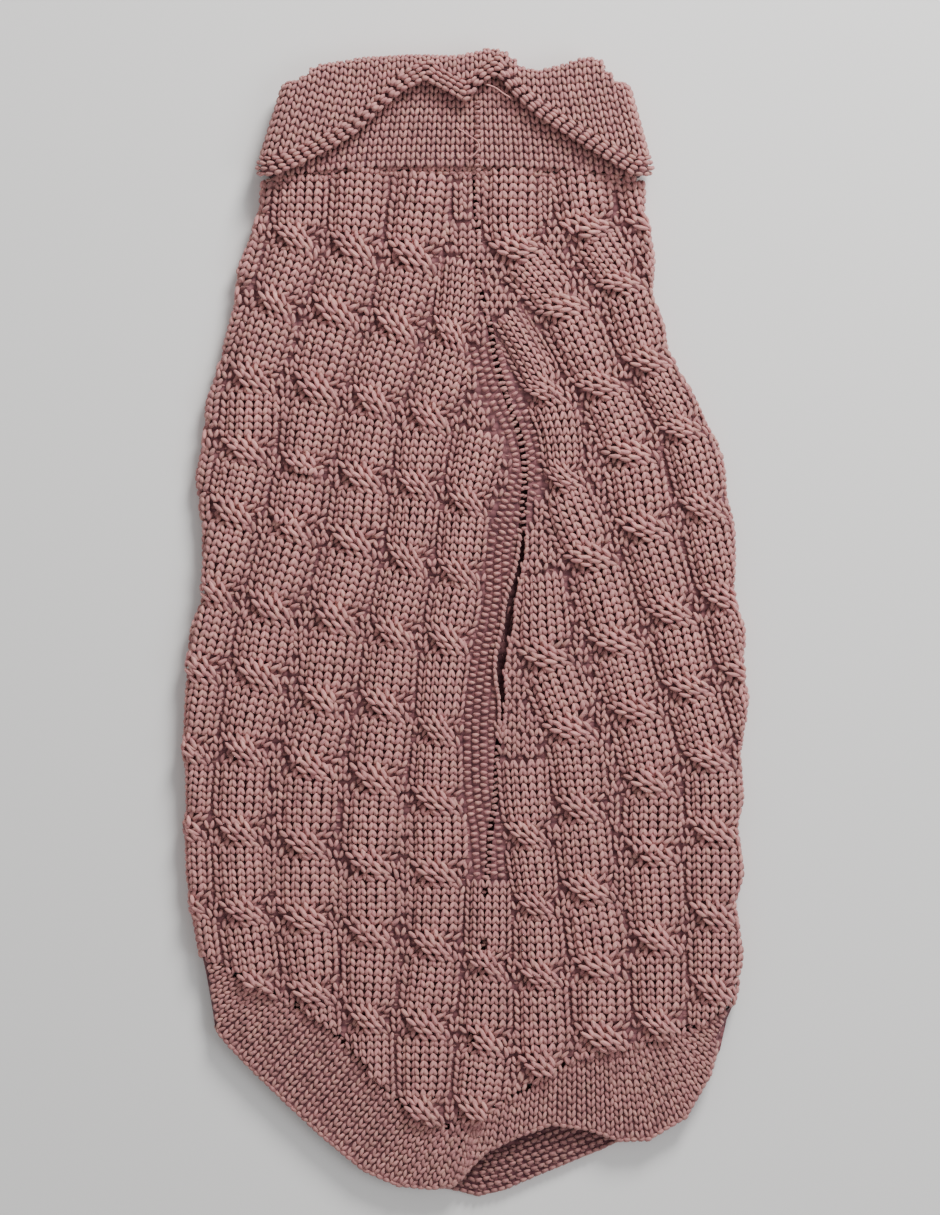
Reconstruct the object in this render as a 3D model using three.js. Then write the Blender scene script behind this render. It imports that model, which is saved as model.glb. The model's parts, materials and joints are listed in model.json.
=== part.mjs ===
// Cable-knit pet sweater with a folded turtleneck, laid flat on its belly side.
// Millimetres, +Z up, +Y towards the neck, +X to the right as seen from above.
// Every piece is knitted fabric: a wall of constant thickness, given as two
// skins (outer and inner) and the edges that close them.
import * as THREE from "three";

// ---------------------------------------------------------------- sizes (mm)
const CABLE_WALL = 4.0;      // thickness of the cable-knit fabric
const RIB_WALL = 3.2;        // thickness of the 1x1 ribbed fabric
const LAYER_GAP = 0.4;       // air between two layers that lie on each other
const SEAM_GAP = 0.3;        // between two pieces sewn edge to edge
const FOLD_STEPS = 6;        // facets round a side fold
const FOLD_ROOM = CABLE_WALL + LAYER_GAP / 2; // flat rows stop this far from the fold
const BAND_GAP = 1.0;        // between the curved hem line and its rib band
const HEM_GAP = CABLE_WALL + LAYER_GAP - RIB_WALL; // keeps the upper band level with its panel

const NECK_Y = 179.2;        // neck seam at the middle
const NECK_DROP = 5.5;       // how much lower the neck seam is at the side folds

const BODY_ROWS = 24;        // sections down a body panel
const HEM_ROWS = 4;          // sections down a hem band
const COLLAR_LUMEN = 0.4;    // flattened neck opening

// Outline of the flattened body: y, left edge, right edge
const OUTLINE = [
  { y: 182.0, xl: -80.6, xr: 69.6 },
  { y: 173.7, xl: -80.2, xr: 69.6 },
  { y: 162.0, xl: -81.6, xr: 69.4 },
  { y: 150.0, xl: -85.0, xr: 73.2 },
  { y: 139.0, xl: -89.8, xr: 74.0 },
  { y: 130.0, xl: -89.8, xr: 73.8 },
  { y: 117.5, xl: -93.1, xr: 78.6 },
  { y: 107.7, xl: -95.9, xr: 79.8 },
  { y: 97.9, xl: -98.2, xr: 85.7 },
  { y: 88.0, xl: -101.8, xr: 91.2 },
  { y: 78.2, xl: -102.6, xr: 95.4 },
  { y: 68.4, xl: -103.6, xr: 101.0 },
  { y: 58.6, xl: -105.7, xr: 102.6 },
  { y: 49.9, xl: -105.7, xr: 102.9 },
  { y: 38.9, xl: -103.8, xr: 106.3 },
  { y: 19.3, xl: -103.6, xr: 106.1 },
  { y: 9.4, xl: -103.4, xr: 105.0 },
  { y: -0.4, xl: -107.5, xr: 109.4 },
  { y: -17.3, xl: -109.6, xr: 108.3 },
  { y: -29.9, xl: -109.6, xr: 110.6 },
  { y: -49.5, xl: -110.6, xr: 108.4 },
  { y: -69.2, xl: -109.2, xr: 109.6 },
  { y: -79.4, xl: -109.8, xr: 107.2 },
  { y: -98.6, xl: -109.3, xr: 109.8 },
  { y: -108.9, xl: -108.1, xr: 106.4 },
  { y: -130.1, xl: -104.3, xr: 109.4 },
  { y: -141.9, xl: -102.6, xr: 107.9 },
  { y: -200.0, xl: -100.0, xr: 97.0 },
];

// Centre-back seam: v runs from the neck seam (0) to the hem band (1), u is the
// fraction of the width from the left fold, open is how far the slit stands open.
const BACK_SEAM = [
  { v: 0.0, u: 0.56, open: 0 },
  { v: 0.12, u: 0.577, open: 0 },
  { v: 0.18, u: 0.603, open: 0 },
  { v: 0.25, u: 0.612, open: 0 },
  { v: 0.32, u: 0.625, open: 0 },
  { v: 0.37, u: 0.606, open: 0.2 },
  { v: 0.42, u: 0.598, open: 1.4 },
  { v: 0.47, u: 0.577, open: 2.6 },
  { v: 0.515, u: 0.566, open: 3.2 },
  { v: 0.55, u: 0.563, open: 1.8 },
  { v: 0.59, u: 0.565, open: 0 },
  { v: 0.72, u: 0.545, open: 0 },
  { v: 0.88, u: 0.508, open: 0 },
  { v: 1.0, u: 0.492, open: 0 },
];

// Belly seams under the garment: centre of the seam either side, and how far the
// leg opening is cut back from it on each side.
const BELLY_SEAM = [
  { v: 0.0, left: 0.27, right: 0.73, leg: 0 },
  { v: 0.14, left: 0.255, right: 0.745, leg: 0 },
  { v: 0.17, left: 0.252, right: 0.748, leg: 9 },
  { v: 0.21, left: 0.25, right: 0.75, leg: 15 },
  { v: 0.25, left: 0.249, right: 0.751, leg: 17.5 },
  { v: 0.29, left: 0.248, right: 0.752, leg: 15.5 },
  { v: 0.33, left: 0.247, right: 0.753, leg: 9.5 },
  { v: 0.36, left: 0.246, right: 0.754, leg: 0 },
  { v: 0.6, left: 0.24, right: 0.76, leg: 0 },
  { v: 1.0, left: 0.24, right: 0.76, leg: 0 },
];

// Where the knit body meets the hem band (y_in), and the free edge of the band,
// at each fraction u of the width. The upper layer, then the lower one.
const HEM_TOP = [
  { u: 0.0, y_in: -130.0, x_out: -99.8, y_out: -159.5 },
  { u: 0.07, y_in: -138.5, x_out: -88.0, y_out: -172.5 },
  { u: 0.15, y_in: -147.0, x_out: -72.0, y_out: -188.0 },
  { u: 0.225, y_in: -156.5, x_out: -56.5, y_out: -202.5 },
  { u: 0.29, y_in: -170.0, x_out: -40.5, y_out: -215.5 },
  { u: 0.357, y_in: -185.5, x_out: -27.0, y_out: -221.5 },
  { u: 0.419, y_in: -194.5, x_out: -14.0, y_out: -222.8 },
  { u: 0.47, y_in: -198.0, x_out: -4.5, y_out: -221.8 },
  { u: 0.492, y_in: -198.0, x_out: -1.5, y_out: -218.0 },
  { u: 0.54, y_in: -193.5, x_out: 8.0, y_out: -208.5 },
  { u: 0.59, y_in: -186.5, x_out: 20.0, y_out: -202.5 },
  { u: 0.648, y_in: -177.5, x_out: 34.0, y_out: -197.5 },
  { u: 0.707, y_in: -170.0, x_out: 48.0, y_out: -199.5 },
  { u: 0.77, y_in: -167.5, x_out: 60.5, y_out: -203.8 },
  { u: 0.828, y_in: -165.5, x_out: 72.0, y_out: -203.5 },
  { u: 0.905, y_in: -160.0, x_out: 87.0, y_out: -194.5 },
  { u: 0.97, y_in: -152.0, x_out: 96.5, y_out: -178.0 },
  { u: 1.0, y_in: -147.5, x_out: 101.0, y_out: -163.0 },
];
const HEM_UNDER = [
  { u: 0.0, y_in: -130.0, x_out: -99.8, y_out: -159.5 },
  { u: 0.07, y_in: -138.5, x_out: -86.5, y_out: -170.5 },
  { u: 0.15, y_in: -147.0, x_out: -70.0, y_out: -186.0 },
  { u: 0.225, y_in: -156.5, x_out: -54.5, y_out: -200.0 },
  { u: 0.29, y_in: -170.0, x_out: -39.0, y_out: -212.5 },
  { u: 0.357, y_in: -185.5, x_out: -26.0, y_out: -219.0 },
  { u: 0.419, y_in: -194.5, x_out: -13.0, y_out: -222.5 },
  { u: 0.47, y_in: -198.0, x_out: -3.0, y_out: -224.4 },
  { u: 0.492, y_in: -198.0, x_out: 4.5, y_out: -226.4 },
  { u: 0.54, y_in: -193.5, x_out: 15.0, y_out: -224.0 },
  { u: 0.59, y_in: -186.5, x_out: 28.0, y_out: -218.5 },
  { u: 0.648, y_in: -177.5, x_out: 42.0, y_out: -212.6 },
  { u: 0.707, y_in: -170.0, x_out: 53.5, y_out: -208.0 },
  { u: 0.77, y_in: -167.5, x_out: 63.0, y_out: -203.5 },
  { u: 0.828, y_in: -165.5, x_out: 71.5, y_out: -201.0 },
  { u: 0.905, y_in: -160.0, x_out: 85.5, y_out: -192.5 },
  { u: 0.97, y_in: -152.0, x_out: 95.0, y_out: -176.5 },
  { u: 1.0, y_in: -147.5, x_out: 101.0, y_out: -163.0 },
];

// Folded collar. Fold line along the top, and the free edge of the turned-down
// flap on the upper side, as fractions across the collar (0 left, 1 right).
const COLLAR_FOLD = [
  { s: 0.0, y: 213.5 },
  { s: 0.05, y: 219.5 },
  { s: 0.2, y: 222.5 },
  { s: 0.35, y: 223.6 },
  { s: 0.5, y: 223.2 },
  { s: 0.57, y: 225.0 },
  { s: 0.61, y: 226.4 },
  { s: 0.66, y: 224.4 },
  { s: 0.71, y: 218.6 },
  { s: 0.76, y: 217.4 },
  { s: 0.84, y: 219.6 },
  { s: 0.92, y: 223.0 },
  { s: 0.97, y: 221.0 },
  { s: 1.0, y: 213.0 },
];
const COLLAR_FREE_EDGE = [
  { s: 0.0, y: 175.6 },
  { s: 0.06, y: 179.5 },
  { s: 0.13, y: 184.8 },
  { s: 0.2, y: 191.0 },
  { s: 0.27, y: 201.0 },
  { s: 0.33, y: 208.6 },
  { s: 0.4, y: 213.2 },
  { s: 0.46, y: 209.4 },
  { s: 0.53, y: 204.6 },
  { s: 0.58, y: 211.8 },
  { s: 0.63, y: 215.2 },
  { s: 0.69, y: 206.0 },
  { s: 0.75, y: 198.6 },
  { s: 0.84, y: 190.0 },
  { s: 0.92, y: 182.6 },
  { s: 1.0, y: 175.6 },
];
// Half width and centre of the flattened neck opening, base and fold.
const COLLAR_BASE = { half: 70.6, centre: -4.6 };
const COLLAR_TOP = { half: 60.8, centre: -3.6 };
const UNDER_FLAP_CLEAR = 2.5; // under flap stops short of the body by this much

const KNIT = new THREE.Color(0.47, 0.25, 0.25);
const RIB = new THREE.Color(0.43, 0.225, 0.225);

// ---------------------------------------------------------------- helpers
const lerp = (a, b, t) => a + (b - a) * t;
const smooth = (t) => t * t * (3 - 2 * t);

// Straight-line reading of one column of a table against another.
function read(table, key, at, column) {
  const rising = table[table.length - 1][key] > table[0][key];
  const rows = rising ? table : [...table].reverse();
  if (at <= rows[0][key]) return rows[0][column];
  for (let i = 1; i < rows.length; i++) {
    if (at <= rows[i][key]) {
      const a = rows[i - 1], b = rows[i];
      return lerp(a[column], b[column], (at - a[key]) / (b[key] - a[key]));
    }
  }
  return rows[rows.length - 1][column];
}

// A closed solid from two skins with the same rows and columns of points. The
// skins are the two faces of the fabric; strips close its four edges.
function fabricSolid(outer, inner, flip) {
  const rows = outer.length, cols = outer[0].length;
  const pos = [];
  for (const skin of [outer, inner]) for (const row of skin) for (const p of row) pos.push(p[0], p[1], p[2]);
  const id = (skin, r, c) => (skin * rows + r) * cols + c;
  const tri = [];
  const quad = (a, b, c, d) => {
    if (flip) tri.push(a, c, b, a, d, c);
    else tri.push(a, b, c, a, c, d);
  };
  for (let r = 0; r < rows - 1; r++) {
    for (let c = 0; c < cols - 1; c++) {
      quad(id(0, r, c), id(0, r, c + 1), id(0, r + 1, c + 1), id(0, r + 1, c));
      quad(id(1, r, c), id(1, r + 1, c), id(1, r + 1, c + 1), id(1, r, c + 1));
    }
    quad(id(0, r, 0), id(0, r + 1, 0), id(1, r + 1, 0), id(1, r, 0));
    quad(id(0, r + 1, cols - 1), id(0, r, cols - 1), id(1, r, cols - 1), id(1, r + 1, cols - 1));
  }
  for (let c = 0; c < cols - 1; c++) {
    quad(id(0, 0, c + 1), id(0, 0, c), id(1, 0, c), id(1, 0, c + 1));
    quad(id(0, rows - 1, c), id(0, rows - 1, c + 1), id(1, rows - 1, c + 1), id(1, rows - 1, c));
  }
  return meshGeometry(pos, tri);
}

function meshGeometry(pos, tri) {
  const g = new THREE.BufferGeometry();
  g.setAttribute("position", new THREE.Float32BufferAttribute(pos, 3));
  g.setIndex(tri);
  const flat = g.toNonIndexed();
  flat.computeVertexNormals();
  g.computeVertexNormals();
  return g;
}

function part(name, geometry, colour) {
  const m = new THREE.Mesh(geometry, new THREE.MeshStandardMaterial({ color: colour, roughness: 0.95, metalness: 0 }));
  m.name = name;
  return m;
}

// ---------------------------------------------------------------- body plan
// A point of the flattened garment: u across from the left fold to the right
// fold, v from the neck seam to the hem band.
function neckY(u) {
  return NECK_Y - NECK_DROP * Math.pow(Math.abs(2 * u - 1), 3);
}
function bodyPoint(u, v) {
  const y = lerp(neckY(u), read(HEM_TOP, "u", u, "y_in"), v);
  const x = lerp(read(OUTLINE, "y", y, "xl"), read(OUTLINE, "y", y, "xr"), u);
  return [x, y];
}
// A point of a hem band: w from the body (0) to the free edge (1).
function hemPoint(table, u, w) {
  // start a little clear of the body, square to the hem line
  const a = bodyPoint(Math.max(0, u - 0.01), 1), b = bodyPoint(Math.min(1, u + 0.01), 1);
  const tx = b[0] - a[0], ty = b[1] - a[1], len = Math.hypot(tx, ty);
  const [xb, yb] = bodyPoint(u, 1);
  const x0 = xb + (ty / len) * BAND_GAP, y0 = yb - (tx / len) * BAND_GAP;
  return [
    lerp(x0, read(table, "u", u, "x_out"), w),
    lerp(y0, read(table, "u", u, "y_out"), w),
  ];
}

// One row of a panel that lies on top, rounds the side fold and comes back
// underneath. top(u) and under(u) place a point of the row in the flat plan;
// side is -1 for the left fold and +1 for the right one.
function wrappedRow({ top, under, side, uSeam, uUnder, openBy, cutBack, wall, gap, nTop, nUnder }) {
  const uEdge = side < 0 ? 0 : 1;
  const total = 2 * wall + gap;
  const R = total / 2, r = gap / 2, zc = R;
  const [ex, ey] = top(uEdge);
  const outer = [], inner = [];
  // upper layer, from the back seam to the fold
  const seam = top(uSeam);
  const width = Math.abs(ex - seam[0]);
  const stop = Math.max(0, 1 - FOLD_ROOM / width);
  for (let i = 0; i <= nTop; i++) {
    const t = (i / nTop) * stop;
    const [x, y] = top(lerp(uSeam, uEdge, t));
    const shift = i === 0 ? side * openBy : 0;
    outer.push([x + shift, y, total]);
    inner.push([x + shift, y, total - wall]);
  }
  // side fold
  for (let k = 1; k < FOLD_STEPS; k++) {
    const a = (k / FOLD_STEPS) * Math.PI;
    const cx = ex - side * R;
    outer.push([cx + side * R * Math.sin(a), ey, zc + R * Math.cos(a)]);
    inner.push([cx + side * r * Math.sin(a), ey, zc + r * Math.cos(a)]);
  }
  // lower layer, from the fold to the belly seam or the leg opening
  const end = under(uUnder);
  const wUnder = Math.abs(ex - end[0]);
  const start = FOLD_ROOM / wUnder;
  for (let i = 0; i <= nUnder; i++) {
    const t = lerp(start, 1, i / nUnder);
    const [x, y] = under(lerp(uEdge, uUnder, t));
    const shift = (i / nUnder) * side * cutBack;
    outer.push([x + shift, y, 0]);
    inner.push([x + shift, y, wall]);
  }
  return { outer, inner };
}

// ---------------------------------------------------------------- back panels
function backPanel(side) {
  const outer = [], inner = [];
  for (let j = 0; j <= BODY_ROWS; j++) {
    const v = j / BODY_ROWS;
    const row = wrappedRow({
      top: (u) => bodyPoint(u, v),
      under: (u) => bodyPoint(u, v),
      side,
      uSeam: read(BACK_SEAM, "v", v, "u"),
      uUnder: read(BELLY_SEAM, "v", v, side < 0 ? "left" : "right"),
      openBy: SEAM_GAP / 2 + read(BACK_SEAM, "v", v, "open") / 2,
      cutBack: SEAM_GAP / 2 + read(BELLY_SEAM, "v", v, "leg"),
      wall: CABLE_WALL, gap: LAYER_GAP, nTop: 12, nUnder: 5,
    });
    outer.push(row.outer);
    inner.push(row.inner);
  }
  return fabricSolid(outer, inner, side > 0);
}

// ---------------------------------------------------------------- belly panel
function bellyPanel() {
  const outer = [], inner = [];
  const across = 12;
  for (let j = 0; j <= BODY_ROWS; j++) {
    const v = j / BODY_ROWS;
    const leg = read(BELLY_SEAM, "v", v, "leg") + SEAM_GAP / 2;
    const l = read(BELLY_SEAM, "v", v, "left"), r = read(BELLY_SEAM, "v", v, "right");
    const top = [], low = [];
    for (let i = 0; i <= across; i++) {
      const t = i / across;
      const [x0, y] = bodyPoint(lerp(l, r, t), v);
      const x = x0 + lerp(leg, -leg, t);
      top.push([x, y, CABLE_WALL]);
      low.push([x, y, 0]);
    }
    outer.push(low);
    inner.push(top);
  }
  return fabricSolid(outer, inner, false);
}

// ---------------------------------------------------------------- hem bands
function backHem(side) {
  const outer = [], inner = [];
  for (let j = 0; j <= HEM_ROWS; j++) {
    const w = j / HEM_ROWS;
    const row = wrappedRow({
      top: (u) => hemPoint(HEM_TOP, u, w),
      under: (u) => hemPoint(HEM_UNDER, u, w),
      side,
      uSeam: 0.492, uUnder: side < 0 ? 0.24 : 0.76,
      openBy: SEAM_GAP / 2, cutBack: SEAM_GAP / 2,
      wall: RIB_WALL, gap: HEM_GAP, nTop: 12, nUnder: 5,
    });
    outer.push(row.outer);
    inner.push(row.inner);
  }
  return fabricSolid(outer, inner, side > 0);
}
function bellyHem() {
  const outer = [], inner = [];
  const across = 12;
  for (let j = 0; j <= HEM_ROWS; j++) {
    const w = j / HEM_ROWS, top = [], low = [];
    for (let i = 0; i <= across; i++) {
      const t = i / across;
      const [x, y] = hemPoint(HEM_UNDER, lerp(0.24, 0.76, t), w);
      const shift = i === 0 ? SEAM_GAP / 2 : i === across ? -SEAM_GAP / 2 : 0;
      top.push([x + shift, y, RIB_WALL]);
      low.push([x + shift, y, 0]);
    }
    outer.push(low);
    inner.push(top);
  }
  return fabricSolid(outer, inner, false);
}

// ---------------------------------------------------------------- collar
// The ribbed tube stands up from the neck seam and is turned down outwards. A
// section of its wall is swept round the flattened neck: d is the distance from
// the neck opening's surface, and y runs from the seam to the fold and back.
function collar() {
  const T = RIB_WALL, G = LAYER_GAP, h0 = COLLAR_LUMEN / 2;
  const zc = h0 + 2 * T + G;
  const R = T + G / 2, r = G / 2;
  // stations round the neck: upper side left to right, right fold, lower side, left fold
  const ring = [];
  const NU = 26, NL = 11, NF = 6;
  for (let i = 0; i < NU; i++) ring.push({ s: i / NU, face: 1, a: 0 });
  for (let k = 0; k < NF; k++) ring.push({ s: 1, face: 0, a: (k / NF) * Math.PI });
  for (let i = 0; i < NL; i++) ring.push({ s: 1 - i / NL, face: -1, a: Math.PI });
  for (let k = 0; k < NF; k++) ring.push({ s: 0, face: 0, a: Math.PI + (k / NF) * Math.PI });

  const base = (s) => neckY(lerp(0.035, 0.965, s)) + SEAM_GAP;
  const fold = (s) => read(COLLAR_FOLD, "s", s, "y");
  const upperEdge = (s) => read(COLLAR_FREE_EDGE, "s", s, "y");
  const lowerEdge = (s) => base(s) + UNDER_FLAP_CLEAR;

  const section = (st) => {
    const { s, a } = st;
    // 1 on the upper side, 0 on the lower side, turning over round the fold
    const up = 0.5 + 0.5 * Math.cos(a);
    const top = fold(s), seam = base(s);
    const free = lerp(lowerEdge(s), Math.max(upperEdge(s), seam + UNDER_FLAP_CLEAR * (1 - up)), up);
    const cy = top - R;
    const pts = [];
    const climb = 5, foldSteps = 5;
    for (let i = 0; i < climb; i++) pts.push([0, lerp(seam, cy, i / climb)]);
    for (let k = 0; k <= foldSteps; k++) {
      const f = (k / foldSteps) * Math.PI;
      pts.push([R - R * Math.cos(f), cy + R * Math.sin(f)]);
    }
    for (let i = 1; i <= 4; i++) pts.push([2 * T + G, lerp(cy, free, i / 4)]);
    for (let i = 0; i < 4; i++) pts.push([T + G, lerp(free, cy, i / 4)]);
    for (let k = 0; k <= 2; k++) {
      const f = Math.PI - (k / 2) * Math.PI;
      pts.push([R - r * Math.cos(f), cy + r * Math.sin(f)]);
    }
    for (let i = 1; i <= climb; i++) pts.push([T, lerp(cy, seam, i / climb)]);
    return pts;
  };
  const place = (st, d, y) => {
    const t = THREE.MathUtils.clamp((y - (NECK_Y - NECK_DROP)) / (222 - NECK_Y + NECK_DROP), 0, 1);
    const half = lerp(COLLAR_BASE.half, COLLAR_TOP.half, smooth(t));
    const mid = lerp(COLLAR_BASE.centre, COLLAR_TOP.centre, t);
    const reach = h0 + d;
    const x = mid + (2 * st.s - 1) * half;
    if (st.face === 1) return [x, y, zc + reach];
    if (st.face === -1) return [x, y, zc - reach];
    return [x + reach * Math.sin(st.a), y, zc + reach * Math.cos(st.a)];
  };
  const pos = [], tri = [];
  const M = section(ring[0]).length, N = ring.length;
  for (const st of ring) for (const [d, y] of section(st)) pos.push(...place(st, d, y));
  for (let n = 0; n < N; n++) {
    for (let m = 0; m < M; m++) {
      const a = n * M + m, b = n * M + ((m + 1) % M);
      const c = ((n + 1) % N) * M + ((m + 1) % M), d = ((n + 1) % N) * M + m;
      tri.push(a, b, c, a, c, d);
    }
  }
  return meshGeometry(pos, tri);
}

// ---------------------------------------------------------------- assembly
const sweater = new THREE.Group();
sweater.add(part("back_left", backPanel(-1), KNIT));
sweater.add(part("back_right", backPanel(1), KNIT));
sweater.add(part("belly", bellyPanel(), KNIT));
sweater.add(part("hem_left", backHem(-1), RIB));
sweater.add(part("hem_right", backHem(1), RIB));
sweater.add(part("hem_belly", bellyHem(), RIB));
sweater.add(part("collar", collar(), RIB));

export default sweater;
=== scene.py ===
import json
import math
import bpy
import numpy as np
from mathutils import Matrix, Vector
from mathutils.kdtree import KDTree

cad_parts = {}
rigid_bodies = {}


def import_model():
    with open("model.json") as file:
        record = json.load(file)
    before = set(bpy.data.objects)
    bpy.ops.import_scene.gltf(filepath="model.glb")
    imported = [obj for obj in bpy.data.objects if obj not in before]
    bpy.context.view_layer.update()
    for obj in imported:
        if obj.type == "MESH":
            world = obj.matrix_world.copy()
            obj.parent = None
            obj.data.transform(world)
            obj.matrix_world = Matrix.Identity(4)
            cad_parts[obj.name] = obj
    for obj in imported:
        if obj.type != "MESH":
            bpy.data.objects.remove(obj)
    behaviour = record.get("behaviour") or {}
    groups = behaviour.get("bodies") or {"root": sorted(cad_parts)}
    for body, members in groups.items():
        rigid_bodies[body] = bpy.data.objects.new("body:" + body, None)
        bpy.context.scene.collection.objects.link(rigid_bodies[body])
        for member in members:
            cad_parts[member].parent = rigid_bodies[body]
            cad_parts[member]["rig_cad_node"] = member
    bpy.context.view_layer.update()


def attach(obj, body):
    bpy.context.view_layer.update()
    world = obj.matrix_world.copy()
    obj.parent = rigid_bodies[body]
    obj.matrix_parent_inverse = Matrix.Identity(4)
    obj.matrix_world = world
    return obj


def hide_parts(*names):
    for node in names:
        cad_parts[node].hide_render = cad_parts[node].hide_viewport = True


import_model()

MM = 0.001
rng = np.random.default_rng(11)

# ------------------------------------------------------------------ sizes, mm
ROW = 2.9            # one knitted row
STITCH = 3.5         # one stitch across
RIB_PITCH = 4.0      # one knit and one purl column of 1x1 rib
WALL, RIBW, GAP = 4.0, 3.2, 0.4
R_BODY = WALL + GAP / 2
HEM_R = 3.8
NECK_Y, NECK_DROP = 179.2, 5.5
STRIP_HALF = 6.2

# outline of the flattened body: y, left edge, right edge
OUTLINE = np.array([
    (182.0, -80.6, 69.6), (173.7, -80.2, 69.6), (162.0, -81.6, 69.4), (150.0, -85.0, 73.2),
    (139.0, -89.8, 74.0), (130.0, -89.8, 73.8), (117.5, -93.1, 78.6), (107.7, -95.9, 79.8),
    (97.9, -98.2, 85.7), (88.0, -101.8, 91.2), (78.2, -102.6, 95.4), (68.4, -103.6, 101.0),
    (58.6, -105.7, 102.6), (49.9, -105.7, 102.9), (38.9, -103.8, 106.3), (19.3, -103.6, 106.1),
    (9.4, -103.4, 105.0), (-0.4, -107.5, 109.4), (-17.3, -109.6, 108.3), (-29.9, -109.6, 110.6),
    (-49.5, -110.6, 108.4), (-69.2, -109.2, 109.6), (-79.4, -109.8, 107.2), (-98.6, -109.3, 109.8),
    (-108.9, -108.1, 106.4), (-130.1, -104.3, 109.4), (-141.9, -102.6, 107.9), (-200.0, -100.0, 97.0)])
# centre-back seam: v (neck to hem), u (share of the width), how far the slit is open
BACK_SEAM = np.array([
    (0.0, 0.56, 0), (0.12, 0.577, 0), (0.18, 0.603, 0), (0.25, 0.612, 0), (0.32, 0.625, 0),
    (0.37, 0.606, 0.2), (0.42, 0.598, 1.4), (0.47, 0.577, 2.6), (0.515, 0.566, 3.2),
    (0.55, 0.563, 1.8), (0.59, 0.565, 0), (0.72, 0.545, 0), (0.88, 0.508, 0), (1.0, 0.492, 0)])
# belly seams: v, left u, right u, how far the leg opening is cut back
BELLY_SEAM = np.array([
    (0.0, 0.27, 0.73, 0), (0.14, 0.255, 0.745, 0), (0.17, 0.252, 0.748, 9), (0.21, 0.25, 0.75, 15),
    (0.25, 0.249, 0.751, 17.5), (0.29, 0.248, 0.752, 15.5), (0.33, 0.247, 0.753, 9.5),
    (0.36, 0.246, 0.754, 0), (0.6, 0.24, 0.76, 0), (1.0, 0.24, 0.76, 0)])
# hem: u, where the body ends, free edge of the upper band, free edge of the lower band
HEM = np.array([
    (0.0, -130.0, -99.8, -159.5, -99.8, -159.5), (0.07, -138.5, -88.0, -172.5, -86.5, -170.5),
    (0.15, -147.0, -72.0, -188.0, -70.0, -186.0), (0.225, -156.5, -56.5, -202.5, -54.5, -200.0),
    (0.29, -170.0, -40.5, -215.5, -39.0, -212.5), (0.357, -185.5, -27.0, -221.5, -26.0, -219.0),
    (0.419, -194.5, -14.0, -222.8, -13.0, -222.5), (0.47, -198.0, -4.5, -221.8, -3.0, -224.4),
    (0.492, -198.0, -1.5, -218.0, 4.5, -226.4), (0.54, -193.5, 8.0, -208.5, 15.0, -224.0),
    (0.59, -186.5, 20.0, -202.5, 28.0, -218.5), (0.648, -177.5, 34.0, -197.5, 42.0, -212.6),
    (0.707, -170.0, 48.0, -199.5, 53.5, -208.0), (0.77, -167.5, 60.5, -203.8, 63.0, -203.5),
    (0.828, -165.5, 72.0, -203.5, 71.5, -201.0), (0.905, -160.0, 87.0, -194.5, 85.5, -192.5),
    (0.97, -152.0, 96.5, -178.0, 95.0, -176.5), (1.0, -147.5, 101.0, -163.0, 101.0, -163.0)])
# direction in which the hem's ribs run inwards from the free edge: x of the edge, degrees
RIB_DIR = np.array([(-104, 24), (-99.8, 38), (-86, 47), (-56, 48), (-36, 52), (-14, 62), (-3, 72),
                    (2, 78), (16, 84), (32, 88), (43, 90), (57, 92), (68, 97), (85, 112), (95, 126), (101, 146)])
# collar: share across, fold line, free edge of the upper flap
COLLAR_FOLD = np.array([
    (0.0, 213.5), (0.05, 219.5), (0.2, 222.5), (0.35, 223.6), (0.5, 223.2), (0.57, 225.0),
    (0.61, 226.4), (0.66, 224.4), (0.71, 218.6), (0.76, 217.4), (0.84, 219.6), (0.92, 223.0),
    (0.97, 221.0), (1.0, 213.0)])
COLLAR_EDGE = np.array([
    (0.0, 175.6), (0.06, 179.5), (0.13, 184.8), (0.2, 191.0), (0.27, 201.0), (0.33, 208.6),
    (0.4, 213.2), (0.46, 209.4), (0.53, 204.6), (0.58, 211.8), (0.63, 215.2), (0.69, 206.0),
    (0.75, 198.6), (0.84, 190.0), (0.92, 182.6), (1.0, 175.6)])

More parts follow.
